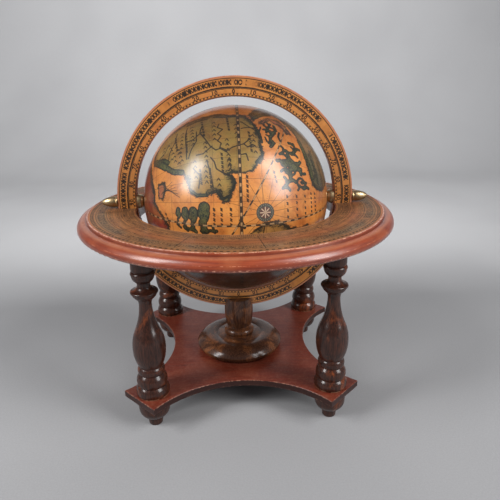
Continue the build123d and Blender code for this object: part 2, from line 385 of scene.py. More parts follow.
def meridian_print():
    """Degree scale: inner ticks, number band, wavy double line, and an outer band of lozenges."""
    g = Graph("meridian_print")
    radius, angle = g.polar(g.x, g.math("SUBTRACT", g.z, GLOBE_HEIGHT / MM))
    wobble = g.scaled(g.noise(0.5, 3, 0.6, g.axes(angle, radius, 0.0)), 0.8, -0.4)
    wavy = g.math("ADD", radius, wobble)
    inner, outer = SCALE_INNER_MM, SCALE_OUTER_MM
    ring_lines = g.most(
        g.within(radius, inner + 0.15, 0.2),
        g.within(radius, inner + 1.75, 0.08),
        g.within(wavy, inner + 4.7, 0.2),
        g.within(wavy, inner + 5.5, 0.46),
        g.within(radius, outer - 1.15, 0.26),
    )
    ticks = g.times(g.blocks(angle, 2.0), g.within(radius, inner + 1.1, 0.45))
    zone_edges = (23.5, 66.5, 113.5, 156.5)
    zones = g.most(*[g.within(g.math("ABSOLUTE", angle), at, 0.22) for at in zone_edges])
    zones = g.times(zones, g.within(radius, outer - 3.2, 2.0))
    patchy = g.step(g.noise(0.9, 4, 0.7), 0.25, 0.45)
    drawing = g.most(ring_lines, ticks, zones, lozenge_chain(g, radius, angle))
    ink = g.times(drawing, g.scaled(patchy, 0.25, 0.75))

    colour = g.mix(g.noise(0.1, 4, 0.6), rgb(190, 118, 52), rgb(212, 144, 72))
    colour = g.mix(g.times(g.step(g.noise(0.16, 4), 0.5, 0.7), 0.35), colour, rgb(184, 104, 56))
    colour = g.mix(ink, aged(g, colour, 0.45), INK)
    border = g.step(radius, outer - 0.95, outer - 0.7)
    colour = g.mix(g.times(border, 0.75), colour, rgb(184, 118, 84))
    return varnish(g, colour, g.times(ink, 0.2), 0.45, 0.6)


def horizon_paper(g, radius, streaks):
    """Colour of the bare ring of paper: streaky brown, with a reddish and a greyish zone."""
    colour = g.mix(g.step(streaks, 0.35, 0.7), rgb(164, 112, 70), rgb(122, 84, 56))
    red = g.times(g.within(radius, 85, 4.5, 3.5), g.step(g.noise(0.03, 4, 0.6), 0.38, 0.6))
    colour = g.mix(g.times(red, 0.45), colour, rgb(146, 74, 44))
    grey = g.times(g.within(radius, 94, 3.5, 2.0), g.step(g.noise(0.05, 3), 0.3, 0.6))
    return g.mix(g.times(grey, 0.55), colour, rgb(112, 102, 80))


def horizon_print():
    """Calendar ring: concentric lines, engraved bands, degree ticks and month dividers, much faded."""
    g = Graph("horizon_print")
    radius, angle = g.polar(g.x, g.y)
    round_it = g.axes(g.times(angle, 1.5), radius, 0.0)
    streaks = g.noise(0.35, 5, 0.7, g.stretched(0.35, 1.6, 1.0, round_it))
    bold_rings = (72.6, 75.4, 80.6, 90.2, 97.2, 99.0, 100.6)
    fine_rings = (77.2, 79.0, 84.4, 86.6, 92.0, 95.4)
    lines = g.most(
        *[g.within(radius, at, 0.2) for at in bold_rings],
        *[g.times(g.within(radius, at, 0.1), 0.7) for at in fine_rings],
    )
    script = g.noise(0.85, 5, 0.75, g.stretched(1.5, 0.8, 1.0, round_it), 1.0)
    gaps = g.step(g.noise(0.11, 2, 0.5, g.stretched(1.0, 0.1, 1.0, round_it)), 0.34, 0.4)
    large_bands = g.most(g.within(radius, 93.7, 2.4, 0.4), g.within(radius, 78, 1.8, 0.3))
    large = g.times(g.step(script, 0.49, 0.53), large_bands, gaps)
    detail = g.noise(1.2, 4, 0.7, g.stretched(1.6, 1.0, 1.0, round_it))
    small_bands = g.most(g.within(radius, 88.3, 1.0, 0.2), g.within(radius, 82.8, 0.9, 0.2))
    small = g.times(g.step(detail, 0.5, 0.54), small_bands)
    strokes = g.times(g.repeat(angle, 0.9, 0.2), g.within(radius, 74, 1.1), g.step(streaks, 0.36, 0.5))
    ticks = g.times(g.blocks(angle, 2.0), g.within(radius, 99.8, 0.6))
    months = g.times(g.repeat(g.math("ADD", angle, 8.0), 30.0, 0.16), g.within(radius, 86.5, 10.6))
    ruled = g.times(g.most(lines, strokes, ticks), 0.85)
    engraved = g.times(g.most(large, small), 0.9)
    faded = g.step(g.noise(0.3, 5, 0.7), 0.22, 0.44)
    ink = g.times(g.most(ruled, engraved, months), faded)

    colour = g.mix(ink, horizon_paper(g, radius, streaks), rgb(34, 26, 20))
    border = g.step(radius, PAPER_EDGE_MM - 1.4, PAPER_EDGE_MM - 0.7)
    colour = g.mix(border, colour, rgb(176, 112, 76))
    return varnish(g, aged(g, colour, 0.35), g.times(ink, 0.2), 0.6, 0.15, gloss=0.2)


def numeral_ink():
    """Letterpress ink, thin and uneven."""
    g = Graph("numeral_ink")
    wear = g.step(g.noise(1.4, 4, 0.7), 0.45, 0.75)
    colour = g.mix(g.times(wear, 0.3), INK, rgb(96, 58, 32))
    return varnish(g, colour, wear, 0.45, 0.6)


# ---- the printed map ----
class MapGraph(Graph):
    """A graph that also knows where it is on the globe: degrees, millimetres, and land or sea."""

    def __init__(self, name):
        super().__init__(name)
        centre = (0.0, 0.0, GLOBE_HEIGHT / MM)
        self.point = self.vector("NORMALIZE", self.vector("SUBTRACT", self.place, centre))
        self.px, py, self.pz = self.node("SeparateXYZ", self.point).outputs
        self.lat = self.math("DEGREES", self.math("ARCSINE", self.px))
        east_turn = self.math("ARCTAN2", self.times(self.pz, -1.0), self.times(py, -1.0))
        self.lon = self.math("DEGREES", east_turn)
        self.mm_per_lon = self.times(self.math("COSINE", self.math("RADIANS", self.lat)), MM_PER_DEGREE)
        self.north_mm = self.times(self.lat, MM_PER_DEGREE)
        self.east_mm = self.times(self.lon, self.mm_per_lon)
        self.fine = self.noise(0.8, 5, 0.75)
        ragged = self.scaled(self.noise(0.32, 5, 0.65), 3.4, -1.7)
        self.coast = self.math("ADD", self.attribute("coast"), ragged)
        self.land = self.step(self.coast, -0.05, 0.1)

    def along(self, axis):
        """The share of the point's unit vector that lies along an axis."""
        return self.vector("DOT_PRODUCT", self.point, tuple(axis))


def sea_and_soil(g):
    """Ochre sea, and lands in their own hand-laid washes."""
    broad = g.noise(0.05, 4, 0.6, twist=0.5)
    sea = g.mix(g.step(broad, 0.35, 0.68), rgb(226, 150, 72), rgb(204, 122, 54))
    sea = g.mix(g.times(g.step(g.fine, 0.5, 0.8), 0.3), sea, rgb(226, 160, 90))
    blotches = g.step(g.noise(0.09, 4), 0.4, 0.66)
    soil = g.mix(g.times(blotches, 0.4), g.attribute("wash", "Color"), rgb(176, 118, 56))
    soil = g.mix(g.times(g.step(g.fine, 0.45, 0.7), 0.35), soil, rgb(92, 84, 50))
    return g.mix(g.land, sea, soil)


def coast_shading(g):
    """Masks of the dark wash inland of a coast, of the hatching along it, and of its outline."""
    patchy = g.step(g.noise(0.07, 3, 0.6), 0.38, 0.58)
    depth = g.scaled(patchy, 3.6, 1.2)
    shallow = g.math("SUBTRACT", 1.0, g.math("DIVIDE", g.coast, depth))
    inland = g.times(g.land, g.math("MAXIMUM", shallow, 0.0))
    offshore = g.times(g.step(g.coast, 0.1, -0.1), g.step(g.coast, -1.9, -0.1))
    strokes = g.noise(1.0, 5, 0.75, g.stretched(0.5, 1.0, 1.4), 0.8)
    closeness = g.most(g.times(inland, 0.3), g.times(offshore, 0.18))
    hatch = g.step(g.math("ADD", strokes, closeness), 0.62, 0.67)
    outline = g.within(g.coast, 0.05, 0.28, 0.12)
    return inland, hatch, outline


def foliage(g):
    """Mask and colour of trees, leafy scrolls, islands and shaded shores."""
    edge = g.math("ADD", g.attribute("leaf"), g.scaled(g.noise(0.9, 4, 0.7), 1.0, -0.5))
    veins = g.step(g.noise(1.1, 4, 0.7, g.stretched(1.0, 1.0, 0.5), 1.5), 0.48, 0.55)
    green = g.mix(veins, rgb(92, 90, 50), rgb(34, 44, 34))
    green = g.mix(g.step(edge, -1.3, -0.2), green, rgb(26, 30, 24))
    return g.step(edge, 0.1, -0.1), green


def graticule(g):
    """Mask of the fine net of parallels, every 13 degrees, and meridians, every 12 degrees."""
    parallels = g.repeat(g.north_mm, 13 * MM_PER_DEGREE, 0.12, 0.12)
    to_meridian = g.times(g.math("PINGPONG", g.lon, 6.0), g.mm_per_lon)
    meridians = g.step(to_meridian, 0.25, 0.04)
    return g.times(g.most(parallels, meridians), g.scaled(g.fine, 0.9, 0.25))


def chequered(g, across, half, edge, line, soft, blocks):
    """Masks of a pale band along across = 0, and of its black edge lines and blocks."""
    edges = g.within(g.math("ABSOLUTE", across), edge, line, soft)
    return g.within(across, 0.0, half, 0.08), g.most(edges, blocks)


def scale_bands(g):
    """The band of the sun's path, the scale band down the prime meridian, and the equator's band."""
    sun_tilt = math.radians(32)
    sun_pole = np.array([math.cos(sun_tilt), 0.0, 0.0]) + math.sin(sun_tilt) * on_sphere(0, 90)
    off_sun_path = g.times(g.along(sun_pole), GLOBE_RADIUS_MM)
    off_scale = g.math("SUBTRACT", g.east_mm, 1.2)
    off_equator = g.math("SUBTRACT", g.north_mm, 1.6)
    equator_blocks = g.step(g.math("PINGPONG", g.lon, 2.6), 0.8, 1.0)
    return [
        chequered(g, off_sun_path, 0.5, 0.5, 0.12, 0.06, g.blocks(g.lon, 5.6)),
        chequered(g, off_scale, 0.62, 0.58, 0.12, 0.06, g.blocks(g.lat, 5.2)),
        chequered(g, off_equator, 1.0, 0.85, 0.3, 0.08, equator_blocks),
    ]


def compass_rose(g, lat, lon, radius):
    """Masks of a compass rose: its ring, beads, face and rays, and the course lines that leave it."""
    middle = on_sphere(lat, lon)
    north = on_sphere(lat + 90, lon)
    east = np.cross(north, middle)
    across = g.times(g.along(east), GLOBE_RADIUS_MM)
    up = g.times(g.along(north), GLOBE_RADIUS_MM)
    away, turn = g.polar(across, up)
    front = g.step(g.along(middle), 0.0, 0.1)
    ring = g.times(g.within(away, radius * 0.81, radius * 0.19), front)
    beads = g.times(ring, g.repeat(turn, 15.0, 2.6, 1.5), g.within(away, radius * 0.83, 0.35))
    face = g.times(g.step(away, radius * 0.64, radius * 0.6), front)
    off_ray = g.math("PINGPONG", turn, 360 / 8 / 2)
    rays = g.times(face, g.step(g.scaled(away, 4.2, off_ray), 20.0, 17.0))
    off_course = g.math("PINGPONG", g.math("ADD", turn, 5.0), 360 / 16 / 2)
    width = g.math("DIVIDE", 8.0, g.math("MAXIMUM", away, 1.0))
    courses = g.times(
        g.step(g.math("DIVIDE", off_course, width), 1.3, 0.7),
        g.step(away, radius * 0.99, radius),
        g.step(away, radius * 4.4, radius * 3.2),
        front,
    )
    return ring, beads, face, rays, courses


def map_print():
    """Old world map: sea, washed lands, hatched coasts, foliage, net, bands, a compass rose, and
    painted shade on top and underside.
    """
    g = MapGraph("map_print")
    inland, hatch, outline = coast_shading(g)
    growth, green = foliage(g)
    ring, beads, face, rays, courses = compass_rose(g, 14.4, -5.6, 5.6)
    lines = g.step(g.attribute("ink"), 0.12, -0.06)
    worn = g.scaled(g.step(g.noise(0.7, 4, 0.7), 0.25, 0.5), 0.45, 0.5)

    colour = sea_and_soil(g)
    colour = g.mix(g.times(inland, 0.7), colour, rgb(66, 72, 46))
    colour = g.mix(g.times(g.most(hatch, outline), 0.92), colour, rgb(32, 34, 26))
    colour = g.mix(growth, colour, green)
    colour = g.mix(g.times(graticule(g), 0.85), colour, rgb(64, 36, 20))
    colour = g.mix(g.times(courses, 0.7), colour, rgb(70, 38, 20))
    colour = g.mix(g.times(lines, worn), colour, rgb(32, 26, 18))
    for band, black in scale_bands(g):
        colour = g.mix(g.times(band, 0.8), colour, rgb(186, 148, 102))
        colour = g.mix(g.times(band, black, worn), colour, rgb(30, 22, 16))
    colour = g.mix(ring, colour, g.mix(g.fine, rgb(34, 40, 38), rgb(92, 92, 82)))
    colour = g.mix(g.times(beads, 0.6), colour, rgb(168, 150, 122))
    colour = g.mix(face, colour, rgb(92, 60, 52))
    colour = g.mix(g.times(rays, 0.85), colour, rgb(214, 184, 152))
    colour = aged(g, colour, 0.5)

    # Painted shade darkens the top of the globe; the ends towards the poles are darkened too.
    painted_top_shade = g.times(g.step(g.pz, 0.5, 0.98), 0.8)
    pole_darkening = g.times(g.step(g.math("ABSOLUTE", g.px), 0.72, 0.98), 0.5)
    colour = g.mix(g.most(painted_top_shade, pole_darkening), colour, rgb(132, 106, 90), "MULTIPLY")
    # Painted shade darkens the underside of the globe.
    colour = g.mix(g.step(g.pz, -0.2, -0.55), colour, rgb(92, 76, 66), "MULTIPLY")
    relief = g.times(g.most(lines, hatch), 0.2)
    return varnish(g, colour, relief, 0.42, 1.0)


# ---- map geography ----
KHAKI = rgb(150, 122, 60)[:3]
OLIVE = rgb(92, 84, 58)[:3]
RED = rgb(140, 46, 34)[:3]
OCHRE = rgb(178, 128, 66)[:3]
ROSE = rgb(176, 96, 70)[:3]

# Outlines of lands, as (latitude, longitude) corners in degrees.
LANDS = [
    (KHAKI, [
        (-4, -27), (3, -27), (8, -28), (11, -32), (14, -35), (14, -40), (13, -47), (12, -56), (9, -62),
        (5, -68), (-3, -68), (-10, -71), (-20, -72), (-30, -74), (-40, -74), (-49, -71), (-55, -65),
        (-56, -56), (-54, -49), (-48, -43), (-42, -37), (-37, -32), (-30, -30), (-28, -25), (-26, -18),
        (-22, -15), (-17, -15), (-13, -17), (-11, -17), (-8, -12), (-5, -12), (-3, -16), (-1, -21),
        (-2, -24),
    ]),
    (OLIVE, [
        (10, -63), (13, -68), (17, -74), (22, -77), (27, -75), (30, -70), (35, -66), (38, -60),
        (41, -53), (42, -45), (44, -37), (46, -30), (48, -23), (52, -20), (57, -19), (62, -22),
        (66, -28), (70, -38), (76, -60), (77, -90), (70, -125), (62, -142), (55, -130), (44, -120),
        (34, -110), (25, -99), (17, -88), (11, -77), (8, -68),
    ]),
    (RED, [
        (-84, -180), (-62, -180), (-66, -140), (-60, -110), (-58, -80), (-60, -62), (-59, -52),
        (-57, -38), (-54, -22), (-54, -12), (-51, -6), (-46, 0), (-42, 6), (-42, 20), (-50, 40),
        (-58, 60), (-54, 85), (-48, 110), (-44, 130), (-52, 150), (-60, 165), (-62, 180), (-84, 180),
    ]),
    (OCHRE, [
        (36, 8), (37, 24), (32, 34), (31, 46), (28, 50), (14, 58), (11, 64), (11, 68), (2, 62),
        (-6, 56), (-16, 57), (-26, 51), (-34, 42), (-35, 36), (-27, 32), (-16, 29), (-6, 29), (3, 26),
        (5, 14), (6, 6), (14, 0), (22, 0), (30, 6),
    ]),
    (KHAKI, [
        (37, 9), (43, 8), (44, 14), (49, 14), (53, 22), (58, 25), (63, 22), (70, 35), (70, 60),
        (76, 115), (72, 160), (64, 175), (60, 160), (52, 152), (42, 146), (38, 138), (30, 138),
        (22, 130), (10, 124), (8, 119), (20, 110), (22, 102), (9, 94), (20, 88), (25, 76), (22, 75),
        (14, 62), (22, 55), (30, 50), (36, 50), (37, 40), (38, 36), (45, 30), (40, 28), (44, 26),
        (40, 18), (43, 20),
    ]),
    (KHAKI, [
        (-40, -112), (-30, -104), (-20, -106), (-12, -100), (-3, -104), (4, -112), (12, -110),
        (20, -118), (24, -128), (20, -136), (22, -146), (14, -154), (6, -150), (-2, -158), (-6, -170),
        (-14, -176), (-22, -168), (-24, -156), (-34, -152), (-38, -142), (-46, -134), (-44, -122),
    ]),
    (OCHRE, [
        (34, -134), (42, -138), (50, -148), (54, -162), (48, -172), (42, -178), (34, -176), (30, -164),
        (34, -152), (30, -144),
    ]),
    (ROSE, [
        (13, -61), (15, -65), (19, -69), (25, -71), (30, -67), (33, -61), (30, -59), (28, -62),
        (25, -65), (22, -65), (20, -67), (17, -64), (16, -61),
    ]),
    (ROSE, [(-13, 62), (-17, 66), (-25, 64), (-24, 60), (-16, 60)]),
    (KHAKI, [(5, 128), (4, 136), (-3, 132), (-2, 126)]),
    (ROSE, [(0, 148), (-4, 156), (-9, 168), (-8, 158), (-3, 148)]),
    (OCHRE, [(36, 148), (42, 156), (40, 158), (34, 150)]),
    (ROSE, [(-44, -28), (-43, -21), (-46, -14), (-50, -16), (-50, -27)]),
]

# Rivers, as (latitude, longitude) corners in degrees.
RIVERS = [
    [
        (-19, -61), (-20, -56), (-17, -50), (-14, -44), (-11, -41), (-8, -42), (-5, -40), (-2, -42),
        (1, -43), (4, -44), (6, -42), (9, -44),
    ],
    [(4, -44), (6, -46), (7, -48)],
    [
        (-9, -60), (-10, -57), (-7, -55), (-10, -52), (-8, -50), (-10, -47), (-8, -45), (-9, -42),
        (-5, -39),
    ],
    [(-14, -37), (-12, -34), (-11, -30), (-7, -27), (-4, -26)],
    [(-22, -58), (-22, -50), (-25, -45), (-27, -39)],
    [(-28, -66), (-29, -57), (-28, -46), (-28, -39)],
    [(3, -61), (7, -57), (11, -54)],
    [(-35, -66), (-36, -58), (-40, -50), (-41, -44)],
    [(-41, -60), (-44, -54), (-49, -52)],
    [(-19, -56), (-24, -52), (-28, -52)],
    [(-13, -44), (-18, -40), (-22, -40)],
    [(6, -34), (5, -38), (1, -37)],
    [(-24, -32), (-20, -27), (-21, -20)],
    [(3, -55), (6, -56), (11, -56)],
    [(-16, -35), (-14, -27), (-13, -20)],
    [(50, -60), (46, -50), (52, -38), (50, -28)],
    [(31, 32), (20, 34), (12, 30), (6, 34), (-2, 33)],
    [(14, 2), (12, 12), (14, 20), (10, 28)],
    [(-18, 54), (-16, 46), (-10, 42)],
    [(26, 73), (32, 74), (36, 80)],
    [(22, 92), (27, 88), (30, 80)],
    [(32, 138), (34, 128), (36, 116)],
    [(68, 85), (58, 84), (50, 90)],
    [(-36, -112), (-30, -122), (-20, -124), (-14, -134), (-16, -146), (-12, -158)],
    [(-8, -106), (-10, -116), (-20, -124)],
    [(14, -116), (8, -126), (-2, -128), (-6, -138), (4, -146)],
    [(-42, -124), (-34, -130), (-32, -142), (-26, -150)],
    [(44, -146), (42, -156), (46, -166)],
]


def curl(lat, lon, size, turns, start, spin):
    """A scroll: a spiral that opens out from its middle."""
    steps = np.linspace(0.15, 1.0, int(14 * turns))
    angles = np.radians(start) + spin * steps * turns * 2 * math.pi
    return [(lat + size * s * math.cos(a), lon + size * s * math.sin(a)) for s, a in zip(steps, angles)]


def leafy(stem, length, half_width):
    """A stem with leaves on both sides in turn, as lines with their half widths in millimetres."""
    branch = [(stem, half_width * 0.8)]
    corners = np.array(stem, float)
    for number, (start, end) in enumerate(zip(corners, corners[1:])):
        way = (end - start) / np.linalg.norm(end - start)
        leaf_width = half_width * (0.75 + 0.2 * (number % 2))
        for share, side in ((0.1, 1), (0.6, -1)):
            root = start + (end - start) * share
            tip = root + length * (0.45 * way + side * 0.9 * np.array([-way[1], way[0]]))
            bend = (root + tip) / 2 + 0.25 * length * way
            branch.append(([tuple(root), tuple(bend), tuple(tip)], leaf_width))
    return branch


def scrollwork():
    """Leafy scrolls in the sea, as lines with their half widths in millimetres."""
    lower = [(25, -19), (29, -23), (31, -27), (27, -32), (26, -36), (31, -38), (36, -35), (38, -29)]
    upper = [(24, -40), (28, -44), (32, -42), (35, -46), (34, -52)]
    return (
        leafy(lower, 4.4, 1.35)
        + leafy(upper, 4.0, 1.15)
        + leafy([(35, -22), (40, -19), (42, -24)], 3.6, 1.1)
        + leafy([(18, -46), (20, -52), (18, -58), (20, -63)], 3.4, 1.0)
        + [([(26, -34), (30, -35), (34, -33)], 2.3), ([(30, -31), (34, -32), (38, -33)], 1.5)]
        + [(curl(38, -24, 3.6, 1.2, 200, -1), 0.8), (curl(31, -31, 3.4, 1.2, 20, 1), 0.8)]
    )


def tree(lat, lon, height, half_width):
    """A round-headed tree that points west, its trunk and undergrowth to the east."""
    return [
        ([(lat, lon - 0.45 * height), (lat + 0.6, lon - 0.8 * height)], half_width),
        ([(lat + 0.7, lon - 0.2 * height), (lat + 1.5, lon - 0.5 * height)], 0.7 * half_width),
        ([(lat, lon), (lat + 0.4, lon + 4.5)], 0.5 * half_width),
        ([(lat - 0.6, lon + 3.5), (lat + 1.8, lon + 5.5)], 0.45 * half_width),
    ]


def marks(shape, lat, lon, count, north_step, east_step):
    """A row of small marks of one shape, each as a line of corners."""
    places = [(lat + north_step * number, lon + east_step * number) for number in range(count)]
    return [[(a + up, o + across) for up, across in shape] for a, o in places]


# Corners of each kind of mark, as degrees north and east of its middle.
HILL = [(-0.9, 0.6), (0, -0.8), (0.9, 0.7)]
WAVE = [(-0.5, -0.8), (0.5, -0.3), (-0.4, 0.3), (0.5, 0.8)]

# Rows of marks: latitude and longitude of the first, count, and the steps north and east.
HILL_ROWS = [
    (-41, -58, 5, 1.2, 3.4), (-35, -52, 5, 1.0, 3.2), (-33, -38, 3, -2.6, -2.6),
    (-12, -62, 5, 0.1, 3.4), (-5, -47, 6, 0.2, 3.2), (-10, -24, 4, 0.4, 3.0), (9, -50, 4, 0.4, 3.6),
    (-25, -64, 6, 0.2, 3.1), (-31, -62, 6, -0.2, 3.3), (-45, -60, 4, -0.5, 3.6),
    (-17, -47, 5, 0.2, 3.0), (-23, -36, 4, 0.2, 3.2), (-17, -32, 4, 0.2, 3.0), (0, -58, 4, 0.2, 3.2),
    (-4, -35, 3, 0.2, 3.0), (47, -60, 7, 0.6, 4.6), (56, -58, 7, 0.6, 5.0), (10, 16, 6, 2.0, 3.0),
    (40, 60, 8, 1.5, 7.0), (-28, -112, 6, 0.3, -4.0), (-6, -112, 7, 1.0, -4.0),
    (12, -120, 6, -0.8, -4.0), (-38, -122, 5, 1.0, -4.0), (-24, -132, 5, 1.2, -4.0),
    (38, -144, 6, 0.6, -4.5),
]
WAVE_ROWS = [
    (-13, -8, 4, 0.0, 2.8), (-9, -8, 4, 0.0, 2.8), (-4, -8, 4, 0.0, 2.8), (5, -25, 6, 0.0, 2.5),
    (27.5, -14, 4, 0.2, 4.2), (34, -14, 4, 0.2, 4.2), (40.5, -14, 4, 0.2, 4.2), (46, -16, 5, 0.2, 3.6),
    (50, -16, 5, 0.2, 3.6), (20, -28, 3, 0.6, 2.6), (-44, -3, 3, 1.0, 3.0), (-20, 20, 6, 3.5, 1.0),
    (-10, 90, 8, 3.0, 2.0), (34, -96, 4, 4.0, -3.0), (-44, -160, 5, 0.4, -4.0),
    (28, -170, 6, 0.4, -4.0), (-36, -62, 6, 0.3, 2.6), (-28.5, -60, 7, 0.1, 2.6),
    (-19, -66, 6, 0.3, 2.6), (-8, -38, 5, 0.1, 2.4), (-14.5, -30, 5, 0.1, 2.4),
    (-4.5, -64, 5, 0.2, 2.4), (7, -52, 6, 0.2, 2.4), (-20, -30, 4, 0.2, 2.4), (44, -44, 6, 0.4, 2.8),
    (53, -40, 6, 0.4, 2.8),
]
# Small green islands and shaded shores, as corners and a half width in millimetres.
ISLANDS = [
    ([(16, -60), (18, -58), (17, -54)], 0.9),
    ([(19, -56), (21, -54), (19, -51)], 1.3),
    ([(22, -62), (23, -58), (21, -55)], 1.1),
    ([(19, -49), (21, -47), (19, -44)], 1.2),
    ([(16, -50), (17, -47)], 0.6),
    ([(25, -57), (24, -53), (25, -50)], 0.7),
    ([(14, -58), (13, -54)], 0.5),
    ([(10, -96), (12, -101)], 1.0),
    ([(28, -154), (24, -160)], 1.1),
    ([(28, -118), (30, -124)], 0.9),
    ([(16, -166), (14, -172)], 0.9),
    ([(-30, -164), (-34, -170)], 0.9),
    ([(12, 142), (8, 146)], 0.9),
]
SHADED_SHORES = [
    ([(-53, -52), (-48, -45), (-43, -39)], 2.4),
    ([(-42, -38), (-37, -33), (-31, -31)], 1.9),
    ([(-50, -50), (-45, -47), (-41, -42)], 1.5),
    ([(-28, -69), (-22, -69), (-16, -68)], 0.9),
    ([(-12, -68), (-5, -66), (2, -66)], 0.8),
    ([(10, -59), (13, -52), (14, -46)], 0.9),
    ([(13, -43), (14, -38), (10, -33)], 0.8),
    ([(-26, -19), (-22, -16), (-17, -16)], 1.0),
    ([(-11, -18), (-8, -14), (-4, -15)], 0.8),
    ([(-3, -18), (-1, -22), (-3, -26)], 0.6),
    ([(39, -58), (43, -46), (48, -30)], 2.0),
    ([(48, -56), (51, -42), (54, -28)], 1.6),
    ([(11, -66), (15, -71), (20, -75)], 1.6),
    ([(56, -50), (60, -38), (62, -28)], 1.4),
    ([(1, -2), (2, 0), (3, 2)], 1.0),
    ([(-38, -112), (-30, -106), (-21, -108)], 1.2),
    ([(21, -120), (23, -128), (19, -136)], 1.2),
    ([(-8, -168), (-14, -174), (-21, -167)], 1.4),
    ([(48, -150), (52, -162), (47, -170)], 1.2),
]
INK_LINES = (
    [(line, 0.4) for line in RIVERS]
    + [(mark, 0.32) for row in HILL_ROWS for mark in marks(HILL, *row)]
    + [(mark, 0.34) for row in WAVE_ROWS for mark in marks(WAVE, *row)]
    # A fan of fine lines beside the small red island.
    + [([(-46 + k, -20 - k), (-36 + k, -22 + 2.2 * k)], 0.2) for k in range(-2, 4)]
)
LEAF_LINES = (
    scrollwork()
    + ISLANDS
    + SHADED_SHORES
    # The grove on the front, with the bushes at its feet.
    + tree(-35, -1, 8.0, 1.8)
    + tree(-30.5, 0, 9.0, 2.4)
    + tree(-25.5, 0, 8.5, 3.0)
    + tree(-19, -1, 10.0, 3.8)
    + tree(-20, 1, 3.0, 2.4)
    + [([(-16, 4), (-12, 4)], 1.1), ([(-14, 2), (-13, 5)], 0.9), ([(-29, 4), (-24, 5)], 1.1)]
    # Trees and garlands on the underside and the back.
    + tree(30, 90, 8.0, 2.2)
    + tree(36, 92, 9.0, 2.4)
    + leafy([(-36, -92), (-30, -88), (-24, -92), (-18, -88), (-12, -92)], 4.0, 1.1)
    + leafy([(4, -170), (10, -182), (6, -192), (14, -198)], 4.4, 1.2)
    + leafy([(-46, 150), (-38, 158), (-30, 152), (-22, 160)], 4.4, 1.2)
)


# ---- the paper globe ----
def nearest_on(points, line):
    """Distance in millimetres from each unit vector to a line of corners on the globe."""
    ends = on_sphere(*np.array(line, float).T)
    across_globe = 2.0
    best = np.full(len(points), across_globe**2)
    for start, end in zip(ends, ends[1:]):
        along = end - start
        share = np.clip((points - start) @ along / (along @ along), 0, 1)
        near = start + share[:, None] * along
        near /= np.linalg.norm(near, axis=1)[:, None]
        best = np.minimum(best, ((points - near) ** 2).sum(1))
    return np.sqrt(best) * GLOBE_RADIUS_MM


def stroke_field(points, strokes, reach=3.0):
    """Distance in millimetres to the nearest stroke's edge, up to a short reach."""
    field = np.full(len(points), reach)
    for line, half_width in strokes:
        ends = on_sphere(*np.array(line, float).T)
        middle = ends.mean(0)
        spread = np.linalg.norm(ends - middle, axis=1).max() + (reach + half_width) / GLOBE_RADIUS_MM
        close = np.linalg.norm(points - middle, axis=1) < spread
        if close.any():
            field[close] = np.minimum(field[close], nearest_on(points[close], line) - half_width)
    return field


def inside(lat, lon, corners):
    """True for the points that an outline of corners encloses."""
    ring = np.array(corners, float)
    middle = (ring[:, 1].min() + ring[:, 1].max()) / 2
    turned = (lon - middle + 180) % 360 - 180 + middle
    found = np.zeros(len(lat), bool)
    for (a0, o0), (a1, o1) in zip(ring, np.roll(ring, -1, 0)):
        crosses = (a0 > lat) != (a1 > lat)
        if a0 != a1:
            found ^= crosses & (turned < o0 + (lat - a0) / (a1 - a0) * (o1 - o0))
    return found


def land_fields(points, lat, lon):
    """Signed distance to the nearest coast in millimetres, land positive, and that land's colour."""
    far_out = -20.0
    coast = np.full(len(points), far_out)
    wash = np.tile(np.array(KHAKI), (len(points), 1))
    for shade, corners in LANDS:
        gap = nearest_on(points, corners + corners[:1])
        signed = np.where(inside(lat, lon, corners), gap, -gap)
        nearer = signed > coast
        coast[nearer] = signed[nearer]
        wash[nearer] = shade
    return coast, wash


def add_field(mesh, name, values):
    """Stores one number for each point of a mesh, for its material to read."""
    attribute = mesh.attributes.new(name, "FLOAT", "POINT")
    attribute.data.foreach_set("value", values.astype(np.float32))


def add_colours(mesh, name, colours):
    """Stores one colour for each point of a mesh, for its material to read."""
    attribute = mesh.attributes.new(name, "FLOAT_COLOR", "POINT")
    opaque = np.column_stack([colours, np.ones(len(colours))])
    attribute.data.foreach_set("color", opaque.astype(np.float32).ravel())


def link_piece(name, mesh):
    """An object in the scene for a mesh."""
    piece = bpy.data.objects.new(name, mesh)
    bpy.context.scene.collection.objects.link(piece)
    return piece


def gore(name, south, north, west, east, material):
    """One printed paper gore: a fine curved sheet with its cut edges turned down to the core."""
    lats = np.linspace(south, north, round((north - south) / GRID_STEP) + 1)
    lons = np.linspace(west, east, round((east - west) / GRID_STEP) + 1)
    lat, lon = [grid.ravel() for grid in np.meshgrid(lats, lons, indexing="ij")]
    index = np.arange(len(lat)).reshape(len(lats), len(lons))
    corners = [index[:-1, :-1], index[:-1, 1:], index[1:, 1:], index[1:, :-1]]
    quads = np.stack(corners, -1).reshape(-1, 4)

    border = np.concatenate([index[0, :-1], index[:-1, -1], index[-1, :0:-1], index[:0:-1, 0]])
    edge = len(lat) + np.arange(len(border))
    foot = edge + len(border)
    walls = np.stack([np.roll(edge, -1), edge, foot, np.roll(foot, -1)], -1)
    lat = np.concatenate([lat, lat[border], lat[border]])
    lon = np.concatenate([lon, lon[border], lon[border]])
    radii = np.full(len(lat), GLOBE_RADIUS)
    radii[foot] -= PAPER_LAYER

    points = on_sphere(lat, lon)
    vertices = points * radii[:, None] + np.array([0, 0, GLOBE_HEIGHT])
    mesh = bpy.data.meshes.new(name)
    mesh.from_pydata(vertices.tolist(), [], np.concatenate([quads, walls]).tolist())
    mesh.polygons.foreach_set("use_smooth", np.ones(len(mesh.polygons), bool))
    coast, wash = land_fields(points, lat, lon)
    add_field(mesh, "coast", coast)
    add_colours(mesh, "wash", wash)
    add_field(mesh, "ink", stroke_field(points, INK_LINES))
    add_field(mesh, "leaf", stroke_field(points, LEAF_LINES))
    mesh.materials.append(material)
    return link_piece(name, mesh)


